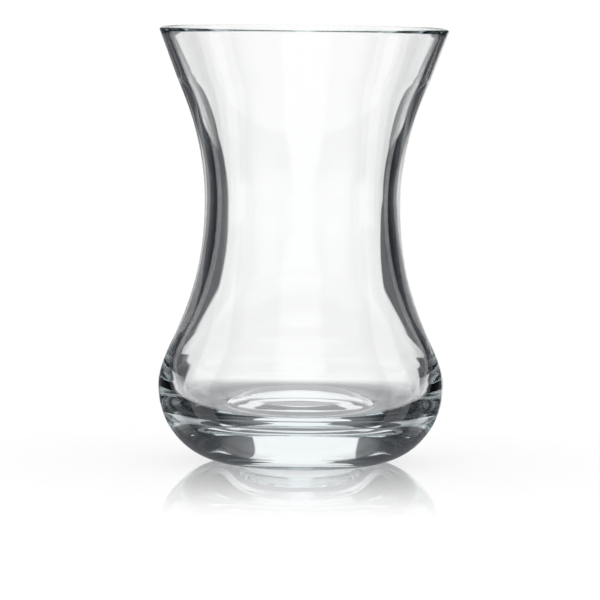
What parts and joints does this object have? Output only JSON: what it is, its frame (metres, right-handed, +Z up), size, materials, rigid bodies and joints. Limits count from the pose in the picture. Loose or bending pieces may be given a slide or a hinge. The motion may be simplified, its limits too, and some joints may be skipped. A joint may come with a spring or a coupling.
{
  "type": "turkish tea glass",
  "caption": "Clear thin-waisted tea glass: flared mouth, narrow waist, round belly and heavy rounded base on a flat ring, empty.",
  "frame": {"origin": "centre of the base, in the plane of the flat ring it stands on", "axes": "+Z up along the axis of revolution, out of the mouth; X and Y are equal"},
  "size_m": [0.0598, 0.0598, 0.09],
  "materials": {
    "clear_glass": "clear soda-lime glass, mould blown and fire polished, smooth and bright"
  },
  "bodies": {
    "root": {"glass": "clear_glass"}
  },
  "joints": []
}
